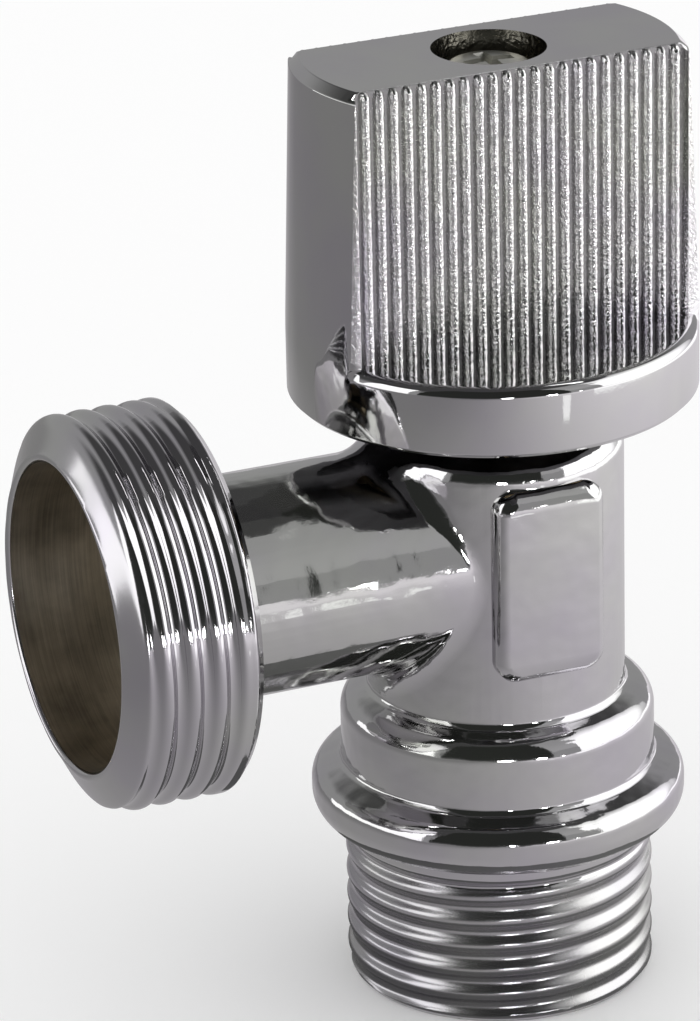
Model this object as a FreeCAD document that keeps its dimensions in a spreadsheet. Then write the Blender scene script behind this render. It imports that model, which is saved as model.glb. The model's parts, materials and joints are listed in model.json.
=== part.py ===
import FreeCAD
import Part
import Sketcher
import math
import os
import re

# Washing machine valve: a chromed brass angle valve with a quarter-turn ceramic headwork.
# Millimetres. +Z runs up the barrel, the origin is the centre of the inlet end, and the outlet points
# along -X.
# The model shows the valve open, with the grip in line with the outlet.

V = FreeCAD.Vector
doc = FreeCAD.newDocument("washing_machine_valve")

# Driving sizes. Lengths in mm, angles in degrees.
SIZES = {
    # how far a cutting outline reaches past what it cuts
    "cutter_margin": 3.0,
    # inlet end, a half inch pipe thread at its major radius
    "inlet_thread_radius": 10.478,
    "foot_chamfer_width": 0.48,
    "foot_chamfer_height": 0.6,
    # two beads above the inlet: a flange with rounded edges, and a shoulder with a rounded top
    "lower_bead_height": 13.4,
    "lower_bead_face": 0.6,
    "lower_bead_step": 2.05,
    "lower_bead_under_round": 1.8,
    "lower_bead_over_round": 1.6,
    "upper_bead_height": 19.2,
    "upper_bead_step": 1.96,
    "upper_bead_round": 1.73,
    # barrel
    "barrel_radius": 8.69,
    "barrel_rise": 11.1,
    # outlet branch and its collar, a three quarter inch pipe thread at its major radius
    "branch_gap": 0.7,
    "branch_inset": 1.22,
    "branch_fillet": 2.2,
    "collar_radius": 13.22,
    "collar_reach": 22.1,
    "collar_length": 8.96,
    "collar_lead_width": 1.6,
    "collar_lead_length": 0.8,
    "collar_back_chamfer": 0.6,
    # bare pad on the front of the barrel
    "pad_width": 7.7,
    "pad_height": 13.4,
    "pad_rise": 0.76,
    "pad_lift": 0.05,
    "pad_corner_round": 1.4,
    "pad_edge_chamfer": 0.65,
    # water passages
    "inlet_bore_radius": 6.5,
    "inlet_cone_height": 1.6,
    "seat_hole_radius": 3.8,
    "seat_plate": 2.4,
    "seat_drop": 5.8,
    "outlet_cup_radius": 10.28,
    "outlet_cup_depth": 7.0,
    "outlet_passage_radius": 4.5,
    "outlet_mouth_chamfer": 0.8,
    "headwork_bore_radius": 6.3,
    "headwork_thread_radius": 7.0,
    "headwork_thread_length": 6.2,
    # headwork housing
    "thread_fit": 0.04,
    "hex_across_flats": 15.0,
    "hex_height": 2.2,
    "cage_radius": 5.75,
    "cage_bore_radius": 5.0,
    "cage_lift": 0.7,
    "window_angle": 76.0,
    "quarter_turn": 90.0,
    "stop_rib_radius": 4.2,
    "stop_rib_angle": 16.0,
    "housing_ring_section": 1.0,
    "housing_groove_width": 1.3,
    "housing_groove_land": 0.4,
    # seat seal and its support ring
    "seal_height": 2.5,
    "seal_wall": 1.1,
    "support_wall": 0.5,
    "support_height": 1.8,
    # ceramic discs
    "seat_fit": 0.05,
    "fixed_disc_thickness": 2.0,
    "moving_disc_thickness": 2.2,
    "moving_disc_radius": 4.7,
    "disc_film": 0.02,
    "disc_hub_radius": 1.7,
    "port_radius": 4.0,
    "port_angle": 80.0,
    "notch_angle": 86.0,
    "ear_width": 2.4,
    "ear_fit": 0.1,
    # spindle
    "spindle_radius": 3.5,
    "spindle_fit": 0.05,
    "drive_gap": 0.2,
    "drive_core_radius": 3.95,
    "drive_thickness": 1.9,
    "drive_wing_angle": 70.0,
    "drive_dog_width": 1.9,
    "drive_dog_reach": 4.0,
    "drive_dog_depth": 1.2,
    "dog_fit": 0.1,
    "slip_washer_thickness": 0.5,
    "slip_film": 0.03,
    "spindle_ring_section": 1.0,
    "spindle_groove_width": 1.3,
    "lower_ring_rise": 3.0,
    "upper_ring_rise": 6.2,
    "ring_fit": 0.02,
    "clip_groove_radius": 2.9,
    "clip_thickness": 0.6,
    "clip_radius": 4.7,
    "clip_gap_angle": 70.0,
    "clip_fit": 0.05,
    "clip_lift": 0.15,
    "spline_radius": 3.4,
    "spline_depth": 0.45,
    "spline_groove_width": 0.8,
    "spline_fit": 0.05,
    "spline_teeth": 20,
    "spindle_end_gap": 0.24,
    # handle
    "skirt_drop": 0.1,
    "handle_radius": 13.69,
    "handle_disc_height": 4.8,
    "handle_bevel": 0.4,
    "grip_height": 18.64,
    "grip_top_radius": 13.04,
    "grip_thickness": 10.9,
    "grip_end_chamfer": 0.6,
    "flute_pitch": 1.0,
    "flute_width": 0.55,
    "flute_depth": 0.45,
    "flute_count": 24,
    "skirt_wall": 2.4,
    "ledge_thickness": 1.4,
    "hub_web": 1.9,
    # handle screw, pan head with a cross recess
    "screw_recess_radius": 3.8,
    "screw_recess_depth": 3.2,
    "screw_head_radius": 3.0,
    "screw_head_height": 2.4,
    "screw_head_side": 1.3,
    "screw_head_flat": 1.9,
    "screw_radius": 1.5,
    "screw_length": 10.0,
    "screw_fit": 0.04,
    "screw_hole_clearance": 0.25,
    "tapped_depth": 9.0,
    "cross_length": 3.4,
    "cross_width": 0.9,
    "cross_depth": 1.2,
}

# Levels and places that follow from the driving sizes.
FOLLOWS = {
    "branch_radius": "barrel_radius - branch_inset",
    "upper_bead_radius": "barrel_radius + upper_bead_step",
    "lower_bead_radius": "upper_bead_radius + lower_bead_step",
    "lower_bead_over_height": "lower_bead_height + lower_bead_face",
    "bead_top": "upper_bead_height + upper_bead_round",
    "outlet_height": "bead_top + branch_gap + branch_fillet + branch_radius",
    "barrel_top": "outlet_height + barrel_rise",
    "seat_height": "outlet_height - seat_drop",
    "inlet_bore_end": "seat_height - seat_plate - inlet_cone_height",
    "collar_front": "collar_reach + collar_length",
    "cup_floor": "collar_front - outlet_cup_depth",
    "headwork_thread_end": "barrel_top - headwork_thread_length",
    "pad_middle": "outlet_height + pad_lift",
    "pad_face": "barrel_radius + pad_rise",
    "seal_top": "seat_height + seal_height",
    "disc_face": "seal_top + fixed_disc_thickness",
    "moving_low": "disc_face + disc_film",
    "moving_top": "moving_low + moving_disc_thickness",
    "drive_low": "moving_top + drive_gap",
    "drive_top": "drive_low + drive_thickness",
    "slip_low": "drive_top + slip_film",
    "shoulder": "slip_low + slip_washer_thickness",
    "cage_bottom": "seat_height + cage_lift",
    "hex_top": "barrel_top + hex_height",
    "spindle_bore": "spindle_radius + spindle_fit",
    "housing_radius": "headwork_thread_radius - thread_fit",
    "housing_groove_top": "barrel_top - housing_groove_land",
    "housing_groove_low": "housing_groove_top - housing_groove_width",
    "housing_ring_outer": "headwork_thread_radius - ring_fit",
    "housing_ring_inner": "housing_ring_outer - housing_ring_section",
    "spindle_ring_outer": "spindle_bore - ring_fit",
    "spindle_ring_inner": "spindle_ring_outer - spindle_ring_section",
    "lower_ring": "shoulder + lower_ring_rise",
    "upper_ring": "shoulder + upper_ring_rise",
    "clip_low": "hex_top + clip_lift",
    "clip_top": "clip_low + clip_thickness",
    "handle_bottom": "barrel_top - skirt_drop",
    "ledge": "handle_bottom + handle_disc_height",
    "handle_top": "ledge + grip_height",
    "skirt_radius": "handle_radius - skirt_wall",
    "skirt_ceiling": "ledge - ledge_thickness",
    "recess_floor": "handle_top - screw_recess_depth",
    "socket_top": "recess_floor - hub_web",
    "spindle_top": "socket_top - spindle_end_gap",
    "screw_head_top": "recess_floor + screw_head_height",
}

sheet = doc.addObject("Spreadsheet::Sheet", "Sizes")
for row, (alias, number) in enumerate(SIZES.items(), start=1):
    sheet.set(f"A{row}", alias)
    sheet.set(f"B{row}", str(number))
    sheet.setAlias(f"B{row}", alias)
doc.recompute()


def bound(text):
    """The expression text with each size led to its cell, and each following place written out."""

    def cell(match):
        word = match.group()
        if word in FOLLOWS:
            return f"({bound(FOLLOWS[word])})"
        return f"Sizes.{word}" if word in SIZES else word

    return re.sub(r"[a-z]\w*", cell, text)


def value(text):
    """The expression's number, in mm or degrees."""
    return float(sheet.evalExpression(bound(text)))


def new_body(label):
    body = doc.addObject("PartDesign::Body", label)
    body.Label = label
    body.Placement = FreeCAD.Placement()
    return body


def new_sketch(body, name, plane, height="0", rise="0"):
    """A sketch on one of the body's origin planes, height above it and shifted by rise along its own Y."""
    sketch = body.newObject("Sketcher::SketchObject", name)
    support = [face for face in body.Origin.OriginFeatures if face.Role == plane][0]
    sketch.AttachmentSupport = [(support, "")]
    sketch.MapMode = "FlatFace"
    for axis, text in (("z", height), ("y", rise)):
        if text != "0":
            sketch.setExpression(f"AttachmentOffset.Base.{axis}", bound(text))
    doc.recompute()
    return sketch


def drive(sketch, kind, ends, text, unit=""):
    """One dimension of a sketch, bound to its expression."""
    number = value(text)
    start = math.radians(number) if unit else number
    index = sketch.addConstraint(Sketcher.Constraint(kind, *ends, start))
    sketch.setExpression(f"Constraints[{index}]", bound(text) if not unit else f"({bound(text)}) * 1 {unit}")


def hold(sketch, piece, end, spot):
    """Hold one end of a piece at its two bound distances from the sketch's origin."""
    for kind, axis, text in (("DistanceX", -2, spot[0]), ("DistanceY", -1, spot[1])):
        if abs(value(text)) < 1e-9:
            sketch.addConstraint(Sketcher.Constraint("PointOnObject", piece, end, axis))
        else:
            drive(sketch, kind, (-1, 1, piece, end), text)


def join(sketch, *pairs):
    """Make the ends in each pair one point."""
    for one, other in pairs:
        sketch.addConstraint(Sketcher.Constraint("Coincident", *one, *other))


def outline(sketch, corners):
    """A closed run of straight lines through the corners."""
    first = sketch.GeometryCount
    places = [V(value(x), value(y), 0) for x, y in corners]
    count = len(corners)
    for i in range(count):
        sketch.addGeometry(Part.LineSegment(places[i], places[(i + 1) % count]), False)
    for i in range(count):
        join(sketch, ((first + i, 2), (first + (i + 1) % count, 1)))
        hold(sketch, first + i, 1, corners[i])


def circle(sketch, radius):
    """A circle about the sketch's origin."""
    index = sketch.addGeometry(Part.Circle(V(0, 0, 0), V(0, 0, 1), value(radius)), False)
    join(sketch, ((index, 3), (-1, 1)))
    drive(sketch, "Radius", (index,), radius)


def sector(sketch, inner, outer, start, end):
    """A ring sector about the sketch's origin, between two radii and two directions in degrees."""
    angles = [math.radians(value(start)), math.radians(value(end))]
    radii = [value(inner), value(outer)]
    first = sketch.GeometryCount
    for radius in radii:
        sketch.addGeometry(Part.ArcOfCircle(Part.Circle(V(0, 0, 0), V(0, 0, 1), radius), *angles), False)
    for angle in angles:
        ends = [V(radius * math.cos(angle), radius * math.sin(angle), 0) for radius in radii]
        sketch.addGeometry(Part.LineSegment(*ends), False)
    low, high, side, far_side = range(first, first + 4)
    join(sketch, ((low, 3), (-1, 1)), ((high, 3), (-1, 1)))
    join(sketch, ((side, 1), (low, 1)), ((side, 2), (high, 1)))
    join(sketch, ((far_side, 1), (low, 2)), ((far_side, 2), (high, 2)))
    for line, text in ((side, start), (far_side, end)):
        sketch.addConstraint(Sketcher.Constraint("PointOnObject", -1, 1, line))
        drive(sketch, "Angle", (line,), text, "deg")
    drive(sketch, "Radius", (low,), inner)
    drive(sketch, "Radius", (high,), outer)


def opposite_sectors(sketch, inner, outer, middle, width):
    """Two equal sectors, one about the middle direction and one across from it."""
    for turn in ("0", "180"):
        centre = f"{turn} + {middle}"
        sector(sketch, inner, outer, f"{centre} - ({width}) / 2", f"{centre} + ({width}) / 2")


def turn(body, kind, name, sketch, axis="V_Axis"):
    """A full turn of the sketch about one of its own axes: kind is Revolution or Groove."""
    feature = body.newObject(f"PartDesign::{kind}", name)
    feature.Profile = sketch
    feature.ReferenceAxis = (sketch, [axis])
    feature.Angle = 360
    doc.recompute()
    return feature


def raise_or_cut(body, kind, name, sketch, length=None, reversed_way=False):
    """A Pad or Pocket of the sketch, through everything when no length is given."""
    feature = body.newObject(f"PartDesign::{kind}", name)
    feature.Profile = sketch
    feature.Reversed = reversed_way
    if length is None:
        feature.Type = "ThroughAll"
    else:
        feature.setExpression("Length", bound(length))
    doc.recompute()
    return feature


def around(body, name, feature, sketch, count):
    """The feature repeated round the sketch's normal."""
    pattern = body.newObject("PartDesign::PolarPattern", name)
    pattern.Originals = [feature]
    pattern.Axis = (sketch, ["N_Axis"])
    pattern.Angle = 360
    pattern.setExpression("Occurrences", bound(count))
    body.Tip = pattern
    doc.recompute()
    return pattern


def soften(body, kind, name, edges, size_text):
    """A Fillet or Chamfer on the edges of the body's tip that the test picks."""
    base = body.Tip
    picked = [f"Edge{i}" for i, edge in enumerate(base.Shape.Edges, start=1) if edges(edge)]
    feature = body.newObject(f"PartDesign::{kind}", name)
    feature.Base = (base, picked)
    feature.setExpression("Radius" if kind == "Fillet" else "Size", bound(size_text))
    doc.recompute()
    return feature


def near(one, other):
    return abs(one - other) < 1e-4


def level(edge, axis, text):
    """Does the whole edge lie at this place along the axis, 0 for X, 1 for Y or 2 for Z?"""
    place = value(text)
    return all(near(point[axis], place) for point in edge.discretize(5))


def turned_ring(label, corners):
    """A ring turned from a straight-sided section."""
    body = new_body(label)
    section = new_sketch(body, f"{label}_section", "XZ_Plane")
    outline(section, corners)
    turn(body, "Revolution", f"{label}_turned", section)
    return body


def seal_ring(label, inner, outer, middle, section):
    """A lathe-cut rubber ring of square section, lying level about the middle height."""
    low, high = f"{middle} - {section} / 2", f"{middle} + {section} / 2"
    return turned_ring(label, [(inner, low), (outer, low), (outer, high), (inner, high)])


def barrel_section(sketch):
    """Half the body's outside: foot, inlet, the two beads and the barrel."""
    under_size = ("lower_bead_radius", "lower_bead_height", "lower_bead_under_round")
    over_size = ("lower_bead_radius", "lower_bead_over_height", "lower_bead_over_round")
    top_size = ("upper_bead_radius", "upper_bead_height", "upper_bead_round")

    def rounding(size, below=None, above=None):
        """An arc that ends at its outermost point, or at a smaller radius below or above it."""
        outer, height, radius = size
        centre = V(value(f"{outer} - {radius}"), value(height), 0)
        low, high = (
            math.acos((value(reach) - centre.x) / value(radius)) if reach else 0 for reach in (below, above)
        )
        return Part.ArcOfCircle(Part.Circle(centre, V(0, 0, 1), value(radius)), -low, high)

    under = rounding(under_size, below="inlet_thread_radius")
    over = rounding(over_size, above="upper_bead_radius")
    top = rounding(top_size, above="barrel_radius")
    foot = V(value("inlet_thread_radius - foot_chamfer_width"), 0, 0)
    rim = V(value("inlet_thread_radius"), value("foot_chamfer_height"), 0)
    barrel_end = V(value("barrel_radius"), value("barrel_top"), 0)
    axis_end = V(0, barrel_end.y, 0)
    pieces = (
        Part.LineSegment(V(0, 0, 0), foot),
        Part.LineSegment(foot, rim),
        Part.LineSegment(rim, under.StartPoint),
        under,
        Part.LineSegment(under.EndPoint, over.StartPoint),
        over,
        Part.LineSegment(over.EndPoint, top.StartPoint),
        top,
        Part.LineSegment(top.EndPoint, barrel_end),
        Part.LineSegment(barrel_end, axis_end),
        Part.LineSegment(axis_end, V(0, 0, 0)),
    )
    for piece in pieces:
        sketch.addGeometry(piece, False)
    for index in range(len(pieces)):
        join(sketch, ((index, 2), ((index + 1) % len(pieces), 1)))
    base, bevel, band, under_arc, face, over_arc, neck, top_arc, wall, lid, axis = range(len(pieces))
    for line in (band, wall):
        sketch.addConstraint(Sketcher.Constraint("Vertical", line))
    hold(sketch, base, 1, ("0", "0"))
    hold(sketch, bevel, 1, ("inlet_thread_radius - foot_chamfer_width", "0"))
    hold(sketch, band, 1, ("inlet_thread_radius", "foot_chamfer_height"))
    hold(sketch, lid, 1, ("barrel_radius", "barrel_top"))
    hold(sketch, axis, 1, ("0", "barrel_top"))
    for index, (outer, height, radius) in ((under_arc, under_size), (over_arc, over_size), (top_arc, top_size)):
        hold(sketch, index, 3, (f"{outer} - {radius}", height))
        drive(sketch, "Radius", (index,), radius)
    drive(sketch, "DistanceY", (-1, 1, face, 1), "lower_bead_height")
    drive(sketch, "DistanceY", (-1, 1, over_arc, 1), "lower_bead_over_height")
    drive(sketch, "DistanceX", (-1, 1, neck, 1), "upper_bead_radius")
    drive(sketch, "DistanceY", (-1, 1, top_arc, 1), "upper_bead_height")


# Valve body: one brass forging, turned and bored, then chromed.
valve_body = new_body("valve_body")
section = new_sketch(valve_body, "barrel_section", "XZ_Plane")
barrel_section(section)
turn(valve_body, "Revolution", "barrel", section)
section = new_sketch(valve_body, "outlet_section", "XZ_Plane", rise="outlet_height")
outline(
    section,
    [
        ("0", "0"),
        ("0", "branch_radius"),
        ("-(collar_reach)", "branch_radius"),
        ("-(collar_reach)", "collar_radius - collar_back_chamfer"),
        ("-(collar_reach + collar_back_chamfer)", "collar_radius"),
        ("-(collar_front - collar_lead_length)", "collar_radius"),
        ("-(collar_front)", "collar_radius - collar_lead_width"),
        ("-(collar_front)", "0"),
    ],
)
turn(valve_body, "Revolution", "outlet", section, "H_Axis")


def on_barrel(point):
    return near(math.hypot(point.x, point.y), value("barrel_radius"))


def on_branch(point):
    return near(math.hypot(point.y, point.z - value("outlet_height")), value("branch_radius"))


soften(
    valve_body,
    "Fillet",
    "branch_junction",
    lambda edge: all(on_barrel(point) and on_branch(point) for point in edge.discretize(5)),
    "branch_fillet",
)
section = new_sketch(valve_body, "pad_outline", "XZ_Plane", height="pad_face", rise="pad_middle")
outline(
    section,
    [(f"{x} * pad_width / 2", f"{z} * pad_height / 2") for x, z in ((-1, -1), (1, -1), (1, 1), (-1, 1))],
)
raise_or_cut(valve_body, "Pad", "pad", section, "pad_face - headwork_thread_radius", reversed_way=True)


def pad_corner(edge):
    """One of the pad's four short edges that run back from its face."""
    half_width, half_height = value("pad_width / 2"), value("pad_height / 2")
    return all(
        near(abs(point.x), half_width)
        and near(abs(point.z - value("pad_middle")), half_height)
        and point.y < 0
        for point in edge.discretize(5)
    )


soften(valve_body, "Fillet", "pad_corners", pad_corner, "pad_corner_round")
soften(valve_body, "Chamfer", "pad_edges", lambda edge: level(edge, 1, "-(pad_face)"), "pad_edge_chamfer")

section = new_sketch(valve_body, "waterway_section", "XZ_Plane")
outline(
    section,
    [
        ("0", "0"),
        ("inlet_bore_radius", "0"),
        ("inlet_bore_radius", "inlet_bore_end"),
        ("seat_hole_radius", "inlet_bore_end + inlet_cone_height"),
        ("seat_hole_radius", "seat_height"),
        ("headwork_bore_radius", "seat_height"),
        ("headwork_bore_radius", "headwork_thread_end"),
        ("headwork_thread_radius", "headwork_thread_end"),
        ("headwork_thread_radius", "barrel_top"),
        ("0", "barrel_top"),
    ],
)
turn(valve_body, "Groove", "waterway", section)
section = new_sketch(valve_body, "outlet_bore_section", "XZ_Plane", rise="outlet_height")
outline(
    section,
    [
        ("0", "0"),
        ("0", "outlet_passage_radius"),
        ("-(cup_floor - outlet_mouth_chamfer)", "outlet_passage_radius"),
        ("-(cup_floor)", "outlet_passage_radius + outlet_mouth_chamfer"),
        ("-(cup_floor)", "outlet_cup_radius"),
        ("-(collar_front)", "outlet_cup_radius"),
        ("-(collar_front)", "0"),
    ],
)
turn(valve_body, "Groove", "outlet_bore", section, "H_Axis")

# Headwork housing: turned brass, screwed into the barrel, with a cage for the discs at its lower end.
housing = new_body("headwork_housing")
section = new_sketch(housing, "housing_section", "XZ_Plane")
outline(
    section,
    [
        ("spindle_bore", "shoulder"),
        ("cage_bore_radius", "shoulder"),
        ("cage_bore_radius", "cage_bottom"),
        ("cage_radius", "cage_bottom"),
        ("cage_radius", "headwork_thread_end"),
        ("housing_radius", "headwork_thread_end"),
        ("housing_radius", "housing_groove_low"),
        ("housing_ring_inner - ring_fit", "housing_groove_low"),
        ("housing_ring_inner - ring_fit", "housing_groove_top"),
        ("housing_radius", "housing_groove_top"),
        ("housing_radius", "barrel_top"),
        ("spindle_bore", "barrel_top"),
    ],
)
turn(housing, "Revolution", "housing_turned", section)
section = new_sketch(housing, "hex_outline", "XY_Plane", height="barrel_top")
HEX_CORNER = "hex_across_flats / sqrt(3)"
hex_turns = range(0, 360, 60)
outline(section, [(f"{HEX_CORNER} * cos({k} deg)", f"{HEX_CORNER} * sin({k} deg)") for k in hex_turns])
circle(section, "spindle_bore")
raise_or_cut(housing, "Pad", "hex_flange", section, "hex_height")
section = new_sketch(housing, "window_outline", "XY_Plane", height="disc_face")
opposite_sectors(section, "spindle_bore", "cage_radius + cutter_margin", "0", "window_angle")
raise_or_cut(housing, "Pocket", "windows", section, "drive_low - disc_face", reversed_way=True)
section = new_sketch(housing, "ear_slots_outline", "XY_Plane", height="cage_bottom")
for side in (1, -1):
    near_y, far_y = f"{side} * disc_hub_radius", f"{side} * (cage_radius + cutter_margin)"
    half = "(ear_width / 2 + ear_fit)"
    outline(section, [(f"-{half}", near_y), (half, near_y), (half, far_y), (f"-{half}", far_y)])
raise_or_cut(housing, "Pocket", "ear_slots", section, "disc_face - cage_bottom", reversed_way=True)
section = new_sketch(housing, "stop_rib_outline", "XY_Plane", height="drive_low")
rib_outer, rib_middle = "(cage_bore_radius + cage_radius) / 2", "quarter_turn * 3 / 2"
opposite_sectors(section, "stop_rib_radius", rib_outer, rib_middle, "stop_rib_angle")
raise_or_cut(housing, "Pad", "stop_ribs", section, "shoulder - drive_low")

# Sealing ring of the housing, in the groove under its hexagon.
groove_middle = "(housing_groove_low + housing_groove_top) / 2"
housing_seal = seal_ring(
    "housing_seal", "housing_ring_inner", "housing_ring_outer", groove_middle, "housing_ring_section"
)

# Rubber seat seal, and the stiff ring that keeps it round.
seat_seal = turned_ring(
    "seat_seal",
    [
        ("cage_bore_radius - seat_fit - seal_wall", "seat_height"),
        ("cage_bore_radius - seat_fit", "seat_height"),
        ("cage_bore_radius - seat_fit", "seal_top"),
        ("cage_bore_radius - seat_fit - seal_wall", "seal_top"),
    ],
)
support_ring = turned_ring(
    "seal_support_ring",
    [
        ("cage_bore_radius - 2 * seat_fit - seal_wall - support_wall", "seal_top - support_height"),
        ("cage_bore_radius - 2 * seat_fit - seal_wall", "seal_top - support_height"),
        ("cage_bore_radius - 2 * seat_fit - seal_wall", "seal_top"),
        ("cage_bore_radius - 2 * seat_fit - seal_wall - support_wall", "seal_top"),
    ],
)

# Fixed ceramic disc: two ports, and two ears that the cage holds still.
fixed_disc = new_body("fixed_disc")
section = new_sketch(fixed_disc, "fixed_disc_outline", "XY_Plane", height="seal_top")
circle(section, "cage_bore_radius - seat_fit")
raise_or_cut(fixed_disc, "Pad", "fixed_disc_plate", section, "fixed_disc_thickness")
section = new_sketch(fixed_disc, "ears_outline", "XY_Plane", height="seal_top")
half, far = "ear_width / 2", "(cage_radius - ear_fit)"
outline(section, [(f"-{half}", f"-{far}"), (half, f"-{far}"), (half, far), (f"-{half}", far)])
raise_or_cut(fixed_disc, "Pad", "ears", section, "fixed_disc_thickness")
section = new_sketch(fixed_disc, "ports_outline", "XY_Plane", height="seal_top")
opposite_sectors(section, "disc_hub_radius", "port_radius", "0", "port_angle")
raise_or_cut(fixed_disc, "Pocket", "ports", section, reversed_way=True)

# Moving ceramic disc: a butterfly whose wings cover the ports when the valve is shut, with a slot on top
# for the spindle's dog.
moving_disc = new_body("moving_disc")
section = new_sketch(moving_disc, "moving_disc_outline", "XY_Plane", height="moving_low")
circle(section, "moving_disc_radius")
raise_or_cut(moving_disc, "Pad", "moving_disc_plate", section, "moving_disc_thickness")
section = new_sketch(moving_disc, "notches_outline", "XY_Plane", height="moving_low")
opposite_sectors(section, "disc_hub_radius", "moving_disc_radius + cutter_margin", "0", "notch_angle")
raise_or_cut(moving_disc, "Pocket", "notches", section, reversed_way=True)
section = new_sketch(moving_disc, "slot_outline", "XY_Plane", height="moving_top")
half, far = "(drive_dog_width / 2 + dog_fit)", "(moving_disc_radius + cutter_margin)"
outline(section, [(f"-{half}", f"-{far}"), (half, f"-{far}"), (half, far), (f"-{half}", far)])
raise_or_cut(moving_disc, "Pocket", "slot", section, "drive_dog_depth - drive_gap + dog_fit")

# Spindle: turned brass, with a drive flange and dog below and a splined end for the handle.
spindle = new_body("spindle")


def groove_corners(middle):
    """The four corners of a ring groove about the level, from below."""
    low, high = f"{middle} - spindle_groove_width / 2", f"{middle} + spindle_groove_width / 2"
    return [
        ("spindle_radius", low),
        ("spindle_ring_inner - ring_fit", low),
        ("spindle_ring_inner - ring_fit", high),
        ("spindle_radius", high),
    ]


section = new_sketch(spindle, "spindle_section", "XZ_Plane")
outline(
    section,
    [
        ("0", "drive_low"),
        ("drive_core_radius", "drive_low"),
        ("drive_core_radius", "drive_top"),
        ("spindle_radius", "drive_top"),
        *groove_corners("lower_ring"),
        *groove_corners("upper_ring"),
        ("spindle_radius", "clip_low - clip_fit"),
        ("clip_groove_radius", "clip_low - clip_fit"),
        ("clip_groove_radius", "clip_top + clip_fit"),
        ("spline_radius", "clip_top + clip_fit"),
        ("spline_radius", "spindle_top"),
        ("0", "spindle_top"),
    ],
)
turn(spindle, "Revolution", "spindle_turned", section)
section = new_sketch(spindle, "wings_outline", "XY_Plane", height="drive_low")
opposite_sectors(section, "spindle_radius", "moving_disc_radius", "90", "drive_wing_angle")
raise_or_cut(spindle, "Pad", "wings", section, "drive_thickness")
section = new_sketch(spindle, "dog_outline", "XY_Plane", height="drive_low")
half, far = "drive_dog_width / 2", "drive_dog_reach"
outline(section, [(f"-{half}", f"-{far}"), (half, f"-{far}"), (half, far), (f"-{half}", far)])
raise_or_cut(spindle, "Pad", "dog", section, "drive_dog_depth", reversed_way=True)


def spline_triangle(sketch, fit):
    """One groove's outline, run on past the spline so that its opening is twice as wide."""
    far = f"spline_radius + spline_depth + {fit}"
    tip = ("0", f"spline_radius - spline_depth + {fit}")
    outline(sketch, [tip, ("spline_groove_width", far), ("-(spline_groove_width)", far)])


section = new_sketch(spindle, "spline_groove_outline", "XY_Plane", height="spindle_top")
spline_triangle(section, "0")
groove = raise_or_cut(spindle, "Pocket", "spline_groove", section, "spindle_top - clip_top - clip_fit")
around(spindle, "spline", groove, section, "spline_teeth")
section = new_sketch(spindle, "tapped_hole_outline", "XY_Plane", height="spindle_top")
circle(section, "screw_radius + screw_fit")
raise_or_cut(spindle, "Pocket", "tapped_hole", section, "tapped_depth")

# Rubber rings that seal the spindle in its bore.
spindle_seals = [
    seal_ring(label, "spindle_ring_inner", "spindle_ring_outer", middle, "spindle_ring_section")
    for label, middle in (("spindle_seal_lower", "lower_ring"), ("spindle_seal_upper", "upper_ring"))
]

# Plastic washer that the spindle's flange slides on, under the housing's shoulder.
slip_washer = turned_ring(
    "slip_washer",
    [
        ("spindle_bore", "slip_low"),
        ("stop_rib_radius - seat_fit", "slip_low"),
        ("stop_rib_radius - seat_fit", "shoulder"),
        ("spindle_bore", "shoulder"),
    ],
)

# Sprung retaining ring, snapped into the spindle's groove above the housing.
clip = new_body("spindle_clip")
section = new_sketch(clip, "clip_outline", "XY_Plane", height="clip_low")
sector(
    section,
    "clip_groove_radius + clip_fit",
    "clip_radius",
    "clip_gap_angle / 2",
    "360 - clip_gap_angle / 2",
)
raise_or_cut(clip, "Pad", "clip_plate", section, "clip_thickness")

# Handle: die-cast zinc, chromed. A hollow disc with a fluted grip across it.
handle = new_body("handle")
section = new_sketch(handle, "handle_section", "XZ_Plane")
outline(
    section,
    [
        ("0", "handle_bottom"),
        ("handle_radius - handle_bevel", "handle_bottom"),
        ("handle_radius", "handle_bottom + handle_bevel"),
        ("handle_radius", "ledge"),
        ("grip_top_radius", "handle_top"),
        ("0", "handle_top"),
    ],
)
turn(handle, "Revolution", "handle_turned", section)
section = new_sketch(handle, "grip_sides_outline", "XY_Plane", height="ledge")
wide = "(handle_radius + cutter_margin)"
for side in (1, -1):
    near_y, far_y = f"{side} * grip_thickness / 2", f"{side} * {wide}"
    outline(section, [(f"-{wide}", near_y), (wide, near_y), (wide, far_y), (f"-{wide}", far_y)])
raise_or_cut(handle, "Pocket", "grip_sides", section, reversed_way=True)


def grip_end(edge):
    """A curved edge at the top of one of the grip's two ends."""
    return level(edge, 2, "handle_top") and edge.Curve.TypeId == "Part::GeomCircle"


soften(handle, "Chamfer", "grip_ends", grip_end, "grip_end_chamfer")
section = new_sketch(handle, "flute_outline", "XY_Plane", height="ledge")
FIRST_FLUTE = "-(flute_count - 1) * flute_pitch / 2"
for side in (1, -1):
    open_y = f"{side} * (grip_thickness / 2 + flute_depth)"
    outline(
        section,
        [
            (FIRST_FLUTE, f"{side} * (grip_thickness / 2 - flute_depth)"),
            (f"{FIRST_FLUTE} + flute_width", open_y),
            (f"{FIRST_FLUTE} - flute_width", open_y),
        ],
    )
flute = raise_or_cut(handle, "Pocket", "flute", section, reversed_way=True)
flutes = handle.newObject("PartDesign::LinearPattern", "flutes")
flutes.Originals = [flute]
flutes.Direction = (section, ["H_Axis"])
flutes.setExpression("Length", bound("(flute_count - 1) * flute_pitch"))
flutes.setExpression("Occurrences", bound("flute_count"))
handle.Tip = flutes
doc.recompute()
section = new_sketch(handle, "skirt_section", "XZ_Plane")
outline(
    section,
    [
        ("0", "handle_bottom"),
        ("skirt_radius", "handle_bottom"),
        ("skirt_radius", "skirt_ceiling"),
        ("0", "skirt_ceiling"),
    ],
)
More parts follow.
